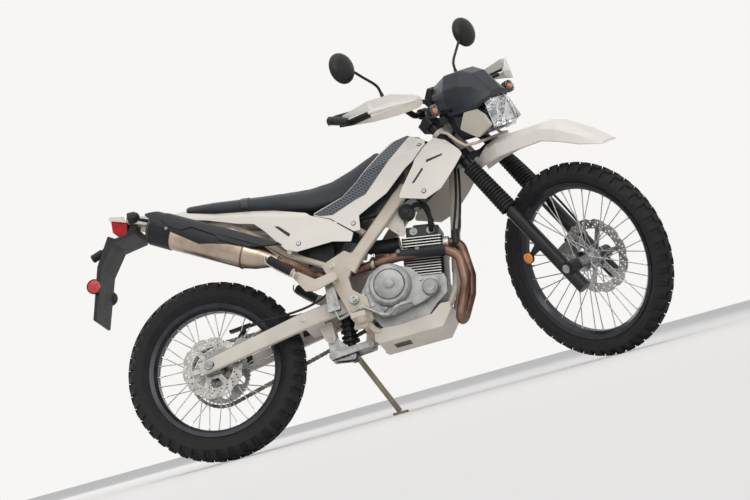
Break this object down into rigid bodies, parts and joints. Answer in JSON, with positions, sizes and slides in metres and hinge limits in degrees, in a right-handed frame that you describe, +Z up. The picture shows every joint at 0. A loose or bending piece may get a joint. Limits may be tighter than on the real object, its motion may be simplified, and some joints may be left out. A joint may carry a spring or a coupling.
{
  "type": "dual sport motorcycle",
  "caption": "Single-cylinder dual sport motorcycle with spoked wheels, block-tread tyres, high fender, hand guards and raised exhaust, leaning on its side stand.",
  "frame": {"origin": "centre of the bounding box on the floor the motorcycle stands on", "axes": "+X forward along the motorcycle, +Y to its left, towards the side stand it leans on, +Z up"},
  "size_m": [2.0362, 0.804, 1.3456],
  "materials": {
    "tyre_rubber": "block tread, dusty",
    "black_rim": "satin black",
    "hub_alloy": "cast and polished",
    "disc_steel": "ground",
    "frame_beige": "satin beige",
    "swingarm_sand": "satin sand",
    "zinc": "zinc plated",
    "shock_black": "satin black",
    "chain_steel": "oiled",
    "black_plastic": "moulded black",
    "caliper_black": "black with bare edges",
    "engine_silver": "silver cast",
    "cylinder_black": "black with machined fin edges",
    "header_brown": "heat tinted brown",
    "muffler_steel": "brushed",
    "skid_sand": "sand painted",
    "tank_black": "gloss black",
    "white_plastic": "pale sand white",
    "seat_vinyl": "grained black vinyl",
    "lamp_red": "clear red",
    "signal_clear": "clear lens",
    "stand_brown": "dusty",
    "fork_black": "satin black",
    "boot_rubber": "matt black",
    "cowl_black": "black",
    "lamp_clear": "clear lens",
    "bar_black": "satin black",
    "grip_rubber": "ribbed",
    "guard_white": "white",
    "mirror_black": "black",
    "cheek_cream": "cream",
    "reflector_amber": "amber",
    "instrument_black": "black"
  },
  "bodies": {
    "rear_wheel": {"rear_tyre": "tyre_rubber", "rear_rim": "black_rim", "rear_hub_spokes": "hub_alloy", "rear_disc": "disc_steel", "rear_sprocket": "disc_steel"},
    "front_wheel": {"front_tyre": "tyre_rubber", "front_rim": "black_rim", "front_hub_spokes": "hub_alloy", "front_disc": "disc_steel"},
    "chassis": {"frame": "frame_beige", "subframe": "frame_beige", "swingarm": "swingarm_sand", "axle_and_pivot": "zinc", "linkage": "zinc", "shock": "shock_black", "chain": "chain_steel", "chain_guard": "black_plastic", "rear_caliper": "caliper_black", "crankcase": "engine_silver", "engine_covers": "engine_silver", "cylinder": "cylinder_black", "cylinder_head": "cylinder_black", "intake": "black_plastic", "exhaust_header": "header_brown", "muffler": "muffler_steel", "heat_guards": "black_plastic", "skid_plate": "skid_sand", "fuel_tank": "tank_black", "tank_covers": "white_plastic", "tank_wings": "white_plastic", "seat": "seat_vinyl", "side_panels": "white_plastic", "rear_fender": "white_plastic", "plate_carrier": "black_plastic", "tail_lamp": "lamp_red", "rear_signals": "signal_clear", "rear_reflectors": "lamp_red", "foot_pegs": "zinc", "foot_controls": "zinc"},
    "side_stand": {"side_stand": "stand_brown"},
    "steering": {"triple_clamps": "fork_black", "fork_legs": "fork_black", "fork_boots": "boot_rubber", "front_axle": "zinc", "front_caliper": "caliper_black", "fork_reflectors": "reflector_amber", "front_fender": "white_plastic", "headlamp_cowl": "cowl_black", "lamp_cheeks": "cheek_cream", "headlamp": "lamp_clear", "headlamp_stay": "frame_beige", "front_signals": "signal_clear", "handlebar": "bar_black", "grips": "grip_rubber", "hand_guards": "guard_white", "mirrors": "mirror_black", "hand_controls": "black_plastic", "instrument": "instrument_black"}
  },
  "joints": [
    {"name": "steering", "type": "hinge", "parent": "chassis", "child": "steering", "pos_m": [0.39916, -0.01639, 0.8625], "axis": [-0.4617, 0.2071, 0.8625], "range_deg": [0, 82]},
    {"name": "front_wheel_spin", "type": "hinge", "parent": "steering", "child": "front_wheel", "pos_m": [0.72996, -0.17919, 0.34288], "axis": [0.5819, 0.8046, 0.1184], "continuous": true},
    {"name": "rear_wheel_spin", "type": "hinge", "parent": "chassis", "child": "rear_wheel", "pos_m": [-0.63509, -0.14719, 0.31768], "axis": [0, 0.9724, -0.2334], "continuous": true},
    {"name": "side_stand_fold", "type": "hinge", "parent": "chassis", "child": "side_stand", "pos_m": [-0.15409, -0.05766, 0.24507], "axis": [0, 0.9866, 0.1633], "range_deg": [0, 108]}
  ]
}
